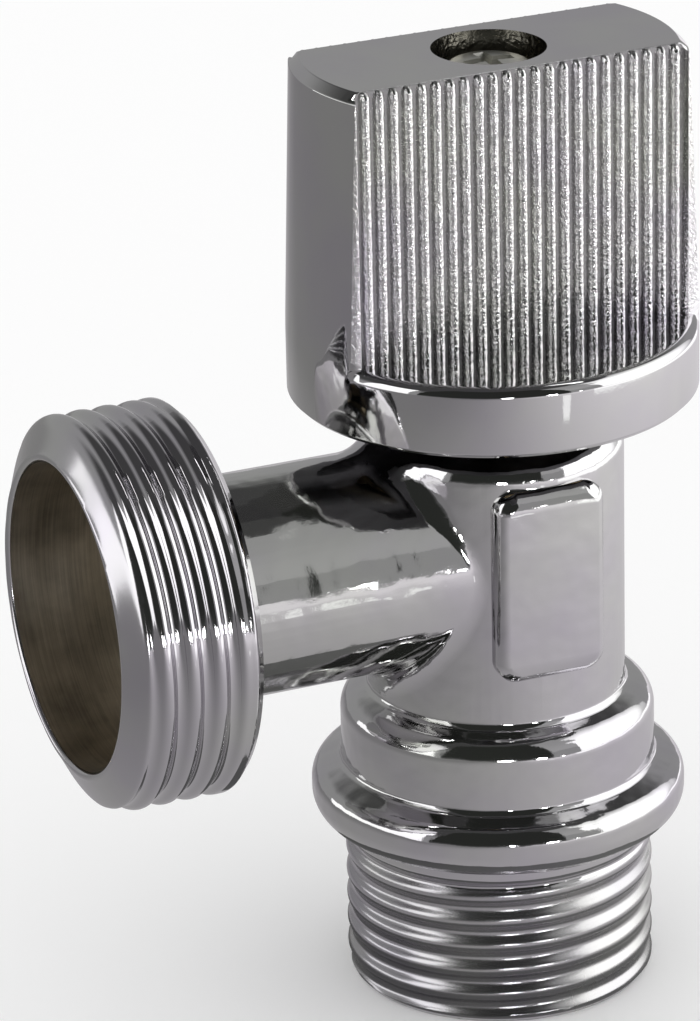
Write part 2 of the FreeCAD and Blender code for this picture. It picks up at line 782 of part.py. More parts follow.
turn(handle, "Groove", "skirt_hollow", section)
section = new_sketch(handle, "socket_outline", "XY_Plane", height="skirt_ceiling")
circle(section, "spline_radius + spline_fit")
raise_or_cut(handle, "Pocket", "socket", section, "socket_top - skirt_ceiling", reversed_way=True)
section = new_sketch(handle, "socket_tooth_outline", "XY_Plane", height="skirt_ceiling")
spline_triangle(section, "2 * spline_fit")
tooth = raise_or_cut(handle, "Pad", "socket_tooth", section, "socket_top - skirt_ceiling")
around(handle, "socket_teeth", tooth, section, "spline_teeth")
section = new_sketch(handle, "recess_outline", "XY_Plane", height="handle_top")
circle(section, "screw_recess_radius")
raise_or_cut(handle, "Pocket", "screw_recess", section, "screw_recess_depth")
section = new_sketch(handle, "screw_hole_outline", "XY_Plane", height="recess_floor")
circle(section, "screw_radius + screw_hole_clearance")
raise_or_cut(handle, "Pocket", "screw_hole", section, "hub_web + spline_fit")

# Handle screw: pan head, holding the handle down on the spindle's end.
screw = new_body("handle_screw")
section = new_sketch(screw, "screw_section", "XZ_Plane")
outline(
    section,
    [
        ("0", "recess_floor - screw_length"),
        ("screw_radius", "recess_floor - screw_length"),
        ("screw_radius", "recess_floor"),
        ("screw_head_radius", "recess_floor"),
        ("screw_head_radius", "recess_floor + screw_head_side"),
        ("screw_head_flat", "screw_head_top"),
        ("0", "screw_head_top"),
    ],
)
turn(screw, "Revolution", "screw_turned", section)
section = new_sketch(screw, "cross_outline", "XY_Plane", height="screw_head_top")
arm, thin = "cross_length / 2", "cross_width / 2"
outline(
    section,
    [
        (f"{x} * {across}", f"{y} * {up}")
        for x, y, across, up in (
            (1, -1, arm, thin),
            (1, 1, arm, thin),
            (1, 1, thin, thin),
            (1, 1, thin, arm),
            (-1, 1, thin, arm),
            (-1, 1, thin, thin),
            (-1, 1, arm, thin),
            (-1, -1, arm, thin),
            (-1, -1, thin, thin),
            (-1, -1, thin, arm),
            (1, -1, thin, arm),
            (1, -1, thin, thin),
        )
    ],
)
raise_or_cut(screw, "Pocket", "cross_recess", section, "cross_depth")

# Checks before anything is written: every object built, every cut bit, every piece one good solid.
doc.recompute()
pieces = [
    valve_body,
    housing,
    housing_seal,
    seat_seal,
    support_ring,
    fixed_disc,
    moving_disc,
    spindle,
    *spindle_seals,
    slip_washer,
    clip,
    handle,
    screw,
]
faults = [item.Name for item in doc.Objects if {"Invalid", "Error"} & set(item.State)]
if faults:
    raise RuntimeError(f"not built: {faults}")
for item in doc.Objects:
    if item.TypeId in ("PartDesign::Pocket", "PartDesign::Groove"):
        if item.BaseFeature.Shape.Volume - item.Shape.Volume < 1e-6:
            faults.append(f"{item.Name} cuts nothing")
for piece in pieces:
    if piece.Shape.isNull() or not piece.Shape.isValid() or len(piece.Shape.Solids) != 1:
        faults.append(f"{piece.Label} is not one good solid")
if faults:
    raise RuntimeError(f"not sound: {faults}")

os.makedirs("parts", exist_ok=True)
for piece in pieces:
    piece.Shape.exportStep(f"parts/{piece.Label}.step")
    print(f"{piece.Label}: {piece.Shape.Volume:.2f} mm3, {len(piece.Shape.Faces)} faces")
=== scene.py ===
import bmesh
import bpy
import json
import math
from mathutils import Matrix, Vector


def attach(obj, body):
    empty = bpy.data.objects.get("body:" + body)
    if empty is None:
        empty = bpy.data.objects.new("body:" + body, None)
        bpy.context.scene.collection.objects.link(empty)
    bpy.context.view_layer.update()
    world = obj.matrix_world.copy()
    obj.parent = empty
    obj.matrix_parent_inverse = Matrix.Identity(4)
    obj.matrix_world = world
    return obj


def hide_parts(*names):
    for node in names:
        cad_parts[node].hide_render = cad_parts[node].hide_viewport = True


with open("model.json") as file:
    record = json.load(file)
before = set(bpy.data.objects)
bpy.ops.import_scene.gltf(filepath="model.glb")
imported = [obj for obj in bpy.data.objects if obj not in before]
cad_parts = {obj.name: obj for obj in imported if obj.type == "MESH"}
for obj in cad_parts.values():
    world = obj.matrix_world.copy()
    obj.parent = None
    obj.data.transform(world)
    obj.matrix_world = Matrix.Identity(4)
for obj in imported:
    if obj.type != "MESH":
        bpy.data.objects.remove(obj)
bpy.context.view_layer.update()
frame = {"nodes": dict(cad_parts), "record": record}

# Valve body: one brass forging with the inlet, two beads, barrel, pad, branch and outlet collar.
# It is turned, bored and threaded, then polished and chromed outside. The water ways stay bare brass.
# Everything else is carried by it.
MM = 0.001
round_steps, crown_steps, hollow_steps, thread_steps, neck_steps = 192, 24, 12, 8, 8
mounts = {mount["name"]: mount for mount in frame["record"]["mounts"]}
inlet_crest = mounts["inlet_thread"]["dims"]["r_mm"]
inlet_bore = mounts["inlet_bore"]["dims"]["r_mm"]
outlet_crest = mounts["outlet_thread"]["dims"]["r_mm"]
cup_radius = mounts["outlet_cup"]["dims"]["r_mm"]
outlet_height = mounts["outlet_thread"]["pos_m"][2] / MM
collar_front = -mounts["outlet_face"]["pos_m"][0] / MM
cup_floor = collar_front - mounts["outlet_cup"]["dims"]["length_mm"]
barrel_radius, branch_radius = 8.69, 7.47
passage_radius, passage_mouth, mouth_break = 4.5, 0.8, 0.25
thread_pitch, inlet_lean, outlet_lean = 1.814, math.radians(46), math.radians(58)
inlet_thread_end, inlet_run_out = 9.9, 0.9
inlet_top = inlet_thread_end + inlet_run_out
foot_chamfer, foot_slope = 0.48, 0.8
lower_bead_radius, lower_bead_height, lower_bead_face = 12.7, 13.4, 0.6
under_round, lower_bead_rise = 1.8, 2.1
upper_bead_radius, upper_bead_height, upper_bead_rise = 10.65, 19.2, 2.3
lower_bead_foot, upper_bead_foot, bead_lean = 0.55, 0.6, math.radians(70)
collar_back, collar_back_chamfer, collar_neck_round = 22.1, 0.6, 0.7
collar_thread_start, collar_run_out = 22.9, 0.9
rim_width, lead_length, lead_smoothing = 0.4, 1.3, 6
shoulder_start, shoulder_round, shoulder_lean = 38.2, 2.0, math.radians(40)
shoulder_steps, shoulder_step, shoulder_top_radius = 12, 0.2, 7.45
shoulder_fade_end, shoulder_fade = 10.5, 1.7
headwork_room, thread_depth = 7.1, 1.5
barrel_cut, barrel_join = 21.8, 21.65
branch_cut, branch_join = 21.0, 21.15
sharp_angle = math.radians(52)

# in mm: gaps that are bridged, and how close a point has to lie to count as on a rim or a wall
join_gap, fine, near, wide = 0.1, 1e-3, 0.01, 0.05


def arc(centre, radius, start, end, steps):
    """Points along an arc of a turned section, as (radius, height) in mm, between two angles."""
    angles = [start + (end - start) * i / steps for i in range(steps + 1)]
    return [(centre[0] + radius * math.cos(a), centre[1] + radius * math.sin(a)) for a in angles]


def rounded_step(outer, height, rise, wall, hollow):
    """A bead's upper edge: a round from its outermost point, a cone, and a hollow that ends on the wall."""
    lean, inward = bead_lean, outer - wall
    both = (rise * math.sin(lean) - inward * math.cos(lean)) / (1 - math.cos(lean))
    crown = both - hollow
    over = arc((outer - crown, height), crown, 0, lean, crown_steps)
    return over + arc((wall + hollow, height + rise), hollow, math.pi + lean, math.pi, hollow_steps)


def pipe_thread(crest, lean, low, high):
    """Rolled pipe thread worn round by polishing, from a turn below low to a turn above high."""
    rounding = thread_pitch / (4 * math.sin(lean))
    root = crest - 2 * rounding * (1 - math.cos(lean))
    points = []
    for turn in range(math.ceil((high - low) / thread_pitch) + 2):
        middle = low + (turn - 1) * thread_pitch
        points += arc((root + rounding, middle), rounding, math.pi + lean, math.pi - lean, thread_steps)
        crest_middle = (crest - rounding, middle + thread_pitch / 2)
        points += arc(crest_middle, rounding, -lean, lean, thread_steps)[1:]
    return points


def turned(section, rise=0.0):
    """A shell spun round Z from an open section. A rise in each turn makes it a right-hand thread."""
    shell = bmesh.new()
    ends = [shell.verts.new((radius, 0, height)) for radius, height in section]
    edges = [shell.edges.new(pair) for pair in zip(ends, ends[1:])]
    bmesh.ops.spin(
        shell,
        geom=ends + edges,
        cent=(0, 0, 0),
        axis=(0, 0, 1),
        dvec=(0, 0, rise / round_steps),
        angle=2 * math.pi,
        steps=round_steps,
        use_merge=rise == 0,
    )
    bmesh.ops.remove_doubles(shell, verts=shell.verts, dist=fine)
    return shell


def cut_level(shell, place, keep_above, across=(0, 0, 1)):
    """Cut the shell at a plane and keep one side."""
    bmesh.ops.bisect_plane(
        shell,
        geom=shell.verts[:] + shell.edges[:] + shell.faces[:],
        dist=1e-4,
        plane_co=Vector(across) * place,
        plane_no=across,
        clear_inner=keep_above,
        clear_outer=not keep_above,
    )


def add_shell(whole, shell):
    """Put a shell's mesh into another one."""
    mesh = bpy.data.meshes.new("passing")
    shell.to_mesh(mesh)
    shell.free()
    whole.from_mesh(mesh)
    bpy.data.meshes.remove(mesh)


def bridge(shell, test):
    """Close the gap between the two open rims whose points pass the test."""
    rims = [edge for edge in shell.edges if edge.is_boundary and all(test(v.co) for v in edge.verts)]
    bmesh.ops.bridge_loops(shell, edges=rims)


def off_axis(point):
    """How far a point lies from the barrel's axis."""
    return math.hypot(point.x, point.y)


def off_branch(point):
    """How far a point lies from the branch's axis."""
    return math.hypot(point.y, point.z - outlet_height)


# inlet: thread with a chamfered foot and a run-out, then the two beads
inlet = turned(pipe_thread(inlet_crest, inlet_lean, 0, inlet_top), rise=thread_pitch)
for vert in inlet.verts:
    reach = off_axis(vert.co)
    fade = min(max((vert.co.z - inlet_thread_end) / inlet_run_out, 0), 1)
    wanted = reach + (inlet_crest - reach) * fade * fade * (3 - 2 * fade)
    wanted = min(wanted, inlet_crest - foot_chamfer + max(vert.co.z, 0) * foot_slope)
    vert.co.xy *= wanted / reach
cut_level(inlet, 0, keep_above=True)
cut_level(inlet, inlet_top, keep_above=False)

under_middle = lower_bead_radius - under_round
under_start = -math.acos((inlet_crest - under_middle) / under_round)
over_height = lower_bead_height + lower_bead_face
beads = turned(
    [(inlet_crest, inlet_top + join_gap)]
    + arc((under_middle, lower_bead_height), under_round, under_start, 0, crown_steps)
    + rounded_step(lower_bead_radius, over_height, lower_bead_rise, upper_bead_radius, lower_bead_foot)
    + rounded_step(upper_bead_radius, upper_bead_height, upper_bead_rise, barrel_radius, upper_bead_foot)
    + [(barrel_radius, barrel_join)]
)
bore = turned([(inlet_bore + mouth_break, 0), (inlet_bore, mouth_break), (inlet_bore, barrel_join)])

# outlet collar, turned upright first: thread with a conical lead, then neck, back face, cup and passage
lead_foot = cup_radius + rim_width
collar = turned(pipe_thread(outlet_crest, outlet_lean, collar_thread_start, collar_front), rise=thread_pitch)
for vert in collar.verts:
    reach = off_axis(vert.co)
    fade = min(max((collar_thread_start + collar_run_out - vert.co.z) / collar_run_out, 0), 1)
    wanted = reach + (outlet_crest - reach) * fade * fade * (3 - 2 * fade)
    lead = max(collar_front - vert.co.z, 0) / lead_length
    wanted = min(wanted, lead_foot + (outlet_crest - lead_foot) * lead)
    vert.co.xy *= wanted / reach
cut_level(collar, collar_thread_start, keep_above=True)
cut_level(collar, collar_front, keep_above=False)
lead_verts = [vert for vert in collar.verts if fine < collar_front - vert.co.z < lead_length]
for step in range(lead_smoothing):
    bmesh.ops.smooth_vert(
        collar, verts=lead_verts, factor=0.5, use_axis_x=True, use_axis_y=True, use_axis_z=True
    )
neck_middle = (branch_radius + collar_neck_round, collar_back - collar_neck_round)
add_shell(
    collar,
    turned(
        [(branch_radius, branch_join)]
        + arc(neck_middle, collar_neck_round, math.pi, math.pi / 2, neck_steps)
        + [(outlet_crest - collar_back_chamfer, collar_back)]
        + [(outlet_crest, collar_back + collar_back_chamfer)]
        + [(outlet_crest, collar_thread_start - join_gap)]
    ),
)
add_shell(
    collar,
    turned(
        [
            (cup_radius + mouth_break, collar_front),
            (cup_radius, collar_front - mouth_break),
            (cup_radius, cup_floor),
            (passage_radius + passage_mouth, cup_floor),
            (passage_radius, cup_floor - passage_mouth),
            (passage_radius, branch_join),
        ]
    ),
)


def at_collar_front(point):
    return abs(point.z - collar_front) < fine


def at_thread_start(point):
    return -join_gap - near < point.z - collar_thread_start < near and off_axis(point) > cup_radius


bridge(collar, at_collar_front)
bridge(collar, at_thread_start)
lay_down = Matrix.Rotation(math.radians(-90), 3, "Y")
bmesh.ops.rotate(collar, verts=collar.verts, cent=(0, 0, 0), matrix=lay_down)
bmesh.ops.translate(collar, verts=collar.verts, vec=(0, 0, outlet_height))

# barrel, pad and branch come from the solid, cut where the turned parts take over
body_shell = bmesh.new()
body_shell.from_mesh(frame["nodes"]["valve_body"].data)
bmesh.ops.remove_doubles(body_shell, verts=body_shell.verts, dist=1e-6)
bmesh.ops.scale(body_shell, vec=(1 / MM,) * 3, verts=body_shell.verts)
cut_level(body_shell, -branch_cut, keep_above=True, across=(1, 0, 0))
cut_level(body_shell, barrel_cut, keep_above=True)


def shoulder_inset(height):
    """How far the barrel's wall leans in at a height: a round, then a cone, then a straight neck."""
    rise = max(height - shoulder_start, 0)
    round_rise = shoulder_round * math.sin(shoulder_lean)
    low = min(rise, round_rise)
    inset = shoulder_round - math.sqrt(shoulder_round**2 - low**2)
    return min(inset + (rise - low) * math.tan(shoulder_lean), barrel_radius - shoulder_top_radius)


# the barrel's top edge is a round shoulder, which fades out where the branch runs into it
for step in range(shoulder_steps):
    bmesh.ops.bisect_plane(
        body_shell,
        geom=body_shell.verts[:] + body_shell.edges[:] + body_shell.faces[:],
        dist=1e-4,
        plane_co=(0, 0, shoulder_start + shoulder_step * step),
        plane_no=(0, 0, 1),
    )
for vert in body_shell.verts:
    reach = off_axis(vert.co)
    if reach > shoulder_top_radius and vert.co.y > -barrel_radius - wide:
        share = min(max((shoulder_fade_end - reach) / shoulder_fade, 0), 1)
        vert.co.xy *= 1 - shoulder_inset(vert.co.z) * share / reach
for shell in (inlet, beads, bore, collar):
    add_shell(body_shell, shell)


def at_foot(point):
    return abs(point.z) < fine


def at_band(point):
    return abs(point.z - inlet_top - join_gap / 2) < join_gap and off_axis(point) > inlet_bore + wide


def at_barrel_cut(point):
    return barrel_join - fine < point.z < barrel_cut + fine


def at_barrel_join(point):
    return at_barrel_cut(point) and abs(off_axis(point) - barrel_radius) < wide


def at_bore_join(point):
    return at_barrel_cut(point) and off_axis(point) < inlet_bore + wide


def at_branch_cut(point):
    return branch_cut - fine < -point.x < branch_join + fine


def at_branch_join(point):
    return at_branch_cut(point) and abs(off_branch(point) - branch_radius) < wide


def at_passage_join(point):
    return at_branch_cut(point) and abs(off_branch(point) - passage_radius) < wide


for join in (at_foot, at_band, at_barrel_join, at_bore_join, at_branch_join, at_passage_join):
    bridge(body_shell, join)


def finish_piece(name, shell, materials, body, slot, *nodes):
    """Scale a shell to metres, shade it smooth but for sharp edges, attach it to its body and hide the CAD
    nodes it stands in for.
    """
    bmesh.ops.scale(shell, vec=(MM,) * 3, verts=shell.verts)
    bmesh.ops.recalc_face_normals(shell, faces=shell.faces)
    for face in shell.faces:
        face.smooth = True
    for edge in shell.edges:
        edge.smooth = len(edge.link_faces) == 2 and edge.calc_face_angle() < sharp_angle
    mesh = bpy.data.meshes.new(name)
    shell.to_mesh(mesh)
    shell.free()
    for material in materials:
        mesh.materials.append(material)
    piece = bpy.data.objects.new(name, mesh)
    bpy.context.scene.collection.objects.link(piece)
    weighted = piece.modifiers.new("even_normals", "WEIGHTED_NORMAL")
    weighted.mode = "FACE_AREA_WITH_ANGLE"
    weighted.keep_sharp = True
    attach(piece, body)
    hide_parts(*nodes)


def add_node(tree, kind, inputs=None, **settings):
    """A shader node with its settings, and its inputs set to values or linked from other nodes."""
    made = tree.nodes.new(kind)
    for name, setting in settings.items():
        setattr(made, name, setting)
    for name, given in (inputs or {}).items():
        if isinstance(given, bpy.types.NodeSocket):
            tree.links.new(given, made.inputs[name])
        else:
            made.inputs[name].default_value = given
    return made


def new_group(name, takes, gives):
    """An empty shader group with its named sockets, and its two end nodes."""
    group = bpy.data.node_groups.new(name, "ShaderNodeTree")
    for label, kind, start in takes:
        socket = group.interface.new_socket(label, in_out="INPUT", socket_type=f"NodeSocket{kind}")
        if start is not None:
            socket.default_value = start
    for label, kind in gives:
        group.interface.new_socket(label, in_out="OUTPUT", socket_type=f"NodeSocket{kind}")
    return group, group.nodes.new("NodeGroupInput"), group.nodes.new("NodeGroupOutput")


def plating_group():
    """Plated metal: slow waves of the hand polishing, fine grain, and a faint drift of colour and gloss."""
    group, given, result = new_group(
        "plating",
        [
            ("Vector", "Vector", None),
            ("Cool Tint", "Color", (0.585, 0.565, 0.605, 1)),
            ("Warm Tint", "Color", (0.625, 0.63, 0.61, 1)),
            ("Wave Scale", "Float", 260.0),
            ("Grain Scale", "Float", 5200.0),
            ("Grain Share", "Float", 0.015),
            ("Least Roughness", "Float", 0.03),
            ("Most Roughness", "Float", 0.09),
        ],
        [("Colour", "Color"), ("Roughness", "Float"), ("Height", "Float")],
    )
    place = given.outputs["Vector"]
    wave_scale, grain_scale = given.outputs["Wave Scale"], given.outputs["Grain Scale"]
    waves = add_node(group, "ShaderNodeTexNoise", {"Vector": place, "Scale": wave_scale, "Detail": 2.0})
    grain = add_node(group, "ShaderNodeTexNoise", {"Vector": place, "Scale": grain_scale, "Detail": 3.0})
    drift = add_node(group, "ShaderNodeTexNoise", {"Vector": place, "Scale": 95.0, "Detail": 3.0})
    share = add_node(
        group, "ShaderNodeMapRange", {"Value": drift.outputs["Fac"], "From Min": 0.35, "From Max": 0.65}
    )
    tint = add_node(group, "ShaderNodeMix", {"Factor": share.outputs["Result"]}, data_type="RGBA")
    group.links.new(given.outputs["Cool Tint"], tint.inputs[6])
    group.links.new(given.outputs["Warm Tint"], tint.inputs[7])
    gloss = add_node(
        group,
        "ShaderNodeMapRange",
        {
            "Value": drift.outputs["Fac"],
            "From Min": 0.3,
            "From Max": 0.7,
            "To Min": given.outputs["Least Roughness"],
            "To Max": given.outputs["Most Roughness"],
        },
    )
    height = add_node(
        group,
        "ShaderNodeMath",
        {0: grain.outputs["Fac"], 1: given.outputs["Grain Share"], 2: waves.outputs["Fac"]},
        operation="MULTIPLY_ADD",
    )
    group.links.new(tint.outputs[2], result.inputs["Colour"])
    group.links.new(gloss.outputs["Result"], result.inputs["Roughness"])
    group.links.new(height.outputs["Value"], result.inputs["Height"])
    return group


plating = plating_group()


def new_material(name):
    """A material with its shader, its tree, and the object's own coordinates."""
    material = bpy.data.materials.new(name)
    material.use_nodes = True
    tree = material.node_tree
    place = add_node(tree, "ShaderNodeTexCoord").outputs["Object"]
    return material, tree, tree.nodes["Principled BSDF"], place


def chrome(name, wave_height, **values):
    """Polished chrome plate over the waves of the metal below it."""
    material, tree, shader, place = new_material(name)
    surface = add_node(tree, "ShaderNodeGroup", node_tree=plating)
    tree.links.new(place, surface.inputs["Vector"])
    for label, number in values.items():
        surface.inputs[label.replace("_", " ").title()].default_value = number
    height = surface.outputs["Height"]
    bump = add_node(tree, "ShaderNodeBump", {"Height": height, "Strength": 1.0, "Distance": wave_height})
    shader.inputs["Metallic"].default_value = 1.0
    tree.links.new(surface.outputs["Colour"], shader.inputs["Base Color"])
    tree.links.new(surface.outputs["Roughness"], shader.inputs["Roughness"])
    tree.links.new(bump.outputs["Normal"], shader.inputs["Normal"])
    return material


def turning_group():
    """Fine rings that a lathe tool leaves, across the first axis of the vector, with stains between them."""
    group, given, result = new_group(
        "turning_marks",
        [("Vector", "Vector", None), ("Dark Colour", "Color", None), ("Light Colour", "Color", None)],
        [("Colour", "Color"), ("Roughness", "Float"), ("Height", "Float")],
    )
    spread = add_node(
        group, "ShaderNodeMapping", {"Vector": given.outputs["Vector"], "Scale": (9000.0, 160.0, 160.0)}
    )
    rings = add_node(
        group, "ShaderNodeTexNoise", {"Vector": spread.outputs["Vector"], "Scale": 1.0, "Detail": 3.0}
    )
    stain = add_node(
        group, "ShaderNodeTexNoise", {"Vector": given.outputs["Vector"], "Scale": 230.0, "Detail": 4.0}
    )
    share = add_node(
        group,
        "ShaderNodeMath",
        {0: rings.outputs["Fac"], 1: 0.45, 2: stain.outputs["Fac"]},
        operation="MULTIPLY_ADD",
    )
    level = add_node(
        group, "ShaderNodeMapRange", {"Value": share.outputs["Value"], "From Min": 0.5, "From Max": 0.95}
    )
    colour = add_node(group, "ShaderNodeMix", data_type="RGBA")
    group.links.new(level.outputs["Result"], colour.inputs["Factor"])
    group.links.new(given.outputs["Dark Colour"], colour.inputs[6])
    group.links.new(given.outputs["Light Colour"], colour.inputs[7])
    gloss = add_node(
        group, "ShaderNodeMapRange", {"Value": rings.outputs["Fac"], "To Min": 0.26, "To Max": 0.44}
    )
    group.links.new(colour.outputs[2], result.inputs["Colour"])
    group.links.new(gloss.outputs["Result"], result.inputs["Roughness"])
    group.links.new(rings.outputs["Fac"], result.inputs["Height"])
    return group


turning_marks = turning_group()


def turned_metal(name, across, dark, light, mark_depth):
    """Bare turned metal with its tool marks across one axis."""
    material, tree, shader, place = new_material(name)
    lay = add_node(tree, "ShaderNodeMapping", {"Vector": place})
    lay.inputs["Rotation"].default_value = (0, math.radians(90), 0) if across == "Z" else (0, 0, 0)
    surface = add_node(tree, "ShaderNodeGroup", node_tree=turning_marks)
    tree.links.new(lay.outputs["Vector"], surface.inputs["Vector"])
    surface.inputs["Dark Colour"].default_value = (*dark, 1)
    surface.inputs["Light Colour"].default_value = (*light, 1)
    height = surface.outputs["Height"]
    bump = add_node(tree, "ShaderNodeBump", {"Height": height, "Strength": 1.0, "Distance": mark_depth})
    shader.inputs["Metallic"].default_value = 1.0
    tree.links.new(surface.outputs["Colour"], shader.inputs["Base Color"])
    tree.links.new(surface.outputs["Roughness"], shader.inputs["Roughness"])
    tree.links.new(bump.outputs["Normal"], shader.inputs["Normal"])
    return material


dull_brass, bright_brass = (0.3, 0.275, 0.235), (0.72, 0.66, 0.56)
body_materials = [
    chrome("body_chrome", 1.6e-4),
    turned_metal("outlet_brass", "X", dull_brass, bright_brass, 6e-6),
    turned_metal("inlet_brass", "Z", dull_brass, bright_brass, 6e-6),
    chrome("outlet_thread_chrome", 3e-5, least_roughness=0.05, most_roughness=0.13),
    # the inlet thread's chrome is darker: painted shade low on the valve
    chrome(
        "inlet_thread_painted_shade",
        3e-5,
        cool_tint=(0.46, 0.445, 0.48, 1),
        warm_tint=(0.56, 0.56, 0.545, 1),
        grain_share=0.1,
        least_roughness=0.2,
        most_roughness=0.3,
    ),
    chrome("rim_chrome", 2e-5, least_roughness=0.13, most_roughness=0.22),
]


def body_surface(face):
    """Which material a face has: chrome, the bare brass of outlet or inlet, their threads with the inlet's
    darkened by painted shade, or the rim.
    """
    middle = face.calc_center_median()
    if middle.z < inlet_thread_end and off_axis(middle) > inlet_crest - thread_depth:
        return 4
    if -middle.x > collar_thread_start and off_branch(middle) > cup_radius + wide:
        return 5 if -middle.x > collar_front - lead_length else 3
    if -middle.x > cup_floor - near and off_branch(middle) < cup_radius + near:
        return 1
    if middle.x < -barrel_radius / 2 and off_branch(middle) < passage_radius + passage_mouth:
        return 1
    return 2 if off_axis(middle) < headwork_room and middle.z > near else 0


for face in body_shell.faces:
    face.material_index = body_surface(face)
finish_piece("valve_body_plated", body_shell, body_materials, "fixed_valve", "chrome_plate", "valve_body")

# Handle: die-cast zinc, polished and chromed, a hollow disc with a grip across it ribbed on both sides.
# The ribs keep the grain of the casting. It is pushed on the spindle's spline and held by the screw.
ledge_height, handle_top = 47.1, 65.74
handle_radius, grip_side = 13.69, 5.45
groove_floor, groove_depth, last_rib_flank = 4.9, 0.45, 11.77
rib_pitch, rib_count, rib_half_width = 1.0, 23, 0.35
rib_height, rib_root = grip_side - groove_floor, 0.05
ledge_round, ledge_segments = 0.8, 6
end_chamfer, end_round, end_segments = 0.6, 0.25, 3
end_top_reach, end_side_reach = 12.2, 12.8
skirt_inside, skirt_roof = 11.29, 46.8
recess_radius, recess_floor = 3.8, 62.54
handle_shell = bmesh.new()
handle_shell.from_mesh(frame["nodes"]["handle"].data)
bmesh.ops.remove_doubles(handle_shell, verts=handle_shell.verts, dist=1e-6)
bmesh.ops.scale(handle_shell, vec=(1 / MM,) * 3, verts=handle_shell.verts)

# the solid's ribs are laid flat, and ribs with rounded tops stand in their place
for vert in handle_shell.verts:
    on_ribs = abs(vert.co.x) < last_rib_flank and -groove_depth - near < abs(vert.co.y) - grip_side < near
    if on_ribs and vert.co.z > ledge_height - near:
        vert.co.y = math.copysign(groove_floor, vert.co.y)
bmesh.ops.dissolve_degenerate(handle_shell, dist=1e-4, edges=handle_shell.edges)
bmesh.ops.dissolve_limit(
    handle_shell, angle_limit=math.radians(1), verts=handle_shell.verts, edges=handle_shell.edges
)


def round_off(shell, test, offset, segments):
    """Round the edges that pass the test."""
    bmesh.ops.bevel(
        shell,
        geom=[edge for edge in shell.edges if test(edge)],
        offset=offset,
        offset_type="OFFSET",
        segments=segments,
        profile=0.5,
        affect="EDGES",
        material=-1,
        clamp_overlap=True,
    )


def on_rim(edge):
    """The ledge's outer edge on both sides of the grip."""
    level = all(abs(v.co.z - ledge_height) < near for v in edge.verts)
    outside = all(off_axis(v.co) > handle_radius - near for v in edge.verts)
    return level and outside and all(abs(v.co.y) > grip_side - near for v in edge.verts)


def on_grip_end(edge):
    """The chamfer's two curved edges at either end of the grip's top."""
    high, low = handle_top, handle_top - end_chamfer
    at_top = all(abs(v.co.z - high) < near and off_axis(v.co) > end_top_reach for v in edge.verts)
    return at_top or all(abs(v.co.z - low) < 3 * near and off_axis(v.co) > end_side_reach for v in edge.verts)


round_off(handle_shell, on_rim, ledge_round, ledge_segments)
round_off(handle_shell, on_grip_end, end_round, end_segments)
bmesh.ops.dissolve_degenerate(handle_shell, dist=fine, edges=handle_shell.edges)


def handle_surface(face):
    """Which material a face has: chrome, the cast ribs lightened with painted light, their grooves darkened
    with painted shade, the bare inside painted near black as shade, or the recess darkened with painted
    shade.
    """
    middle = face.calc_center_median()
    if off_axis(middle) < recess_radius and recess_floor - near < middle.z < handle_top - near:
        return 4
    if middle.z < skirt_roof and off_axis(middle) < skirt_inside + near:
        return 3
    on_side = middle.z > ledge_height and abs(face.normal.y) > 0.5
    if on_side and abs(middle.y) > groove_floor + near:
        return 1
    return 2 if on_side and abs(middle.y) > groove_floor - near else 0


handle_shell.normal_update()
for face in handle_shell.faces:
    face.material_index = handle_surface(face)
for side in (0, 180):
    for step in range(rib_count):
        rib = bmesh.new()
        bmesh.ops.create_uvsphere(rib, u_segments=20, v_segments=8, radius=1)
        cut_level(rib, 0, keep_above=True)
        cut_level(rib, -rib_root / rib_height, keep_above=True, across=(0, 1, 0))
        bmesh.ops.scale(rib, vec=(rib_half_width, rib_height, rib_height), verts=rib.verts)
        around = [edge for edge in rib.edges if all(abs(v.co.z) < 1e-4 for v in edge.verts)]
        drawn = bmesh.ops.extrude_edge_only(rib, edges=around)
        foot = [item for item in drawn["geom"] if isinstance(item, bmesh.types.BMVert)]
        bmesh.ops.translate(rib, verts=foot, vec=(0, 0, ledge_height - handle_top + rib_height - rib_root))
        bmesh.ops.holes_fill(rib, edges=[edge for edge in rib.edges if edge.is_boundary])
        along = (step - (rib_count - 1) / 2) * rib_pitch
        bmesh.ops.translate(rib, verts=rib.verts, vec=(along, groove_floor, handle_top - rib_height))
        turn = Matrix.Rotation(math.radians(side), 3, "Z")
        bmesh.ops.rotate(rib, verts=rib.verts, cent=(0, 0, 0), matrix=turn)
        for face in rib.faces:
            face.material_index = 1
        add_shell(handle_shell, rib)
handle_materials = [
    chrome("handle_chrome", 2e-5, grain_share=0.05, least_roughness=0.02, most_roughness=0.06),
    # the ribs' chrome is lighter than the rest: painted light on the ribs
    chrome(
        "rib_painted_light",
        1e-4,
        cool_tint=(0.77, 0.75, 0.79, 1),
        warm_tint=(0.81, 0.81, 0.79, 1),
        wave_scale=4500.0,
        grain_share=0.1,
        least_roughness=0.04,
        most_roughness=0.1,
    ),
    # the grooves' chrome is dark: painted shade between the ribs
    chrome(
        "groove_painted_shade",
        3e-5,
        cool_tint=(0.24, 0.23, 0.25, 1),
        warm_tint=(0.3, 0.3, 0.29, 1),
        wave_scale=3500.0,
        least_roughness=0.08,
        most_roughness=0.16,
    ),
    # the bare zinc inside is near black: painted shade in the handle's hollow
    turned_metal("zinc_painted_shade", "Z", (0.05, 0.05, 0.052), (0.14, 0.14, 0.145), 6e-6),
    # the recess's chrome is darker: painted shade inside the hollow
    chrome(
        "recess_painted_shade",
        9e-5,
        cool_tint=(0.3, 0.29, 0.26, 1),
        warm_tint=(0.5, 0.48, 0.42, 1),
        wave_scale=1900.0,
        grain_share=0.2,
        least_roughness=0.14,
        most_roughness=0.28,
    ),
]
finish_piece("handle_plated", handle_shell, handle_materials, "turning_handle", "chrome_plate", "handle")

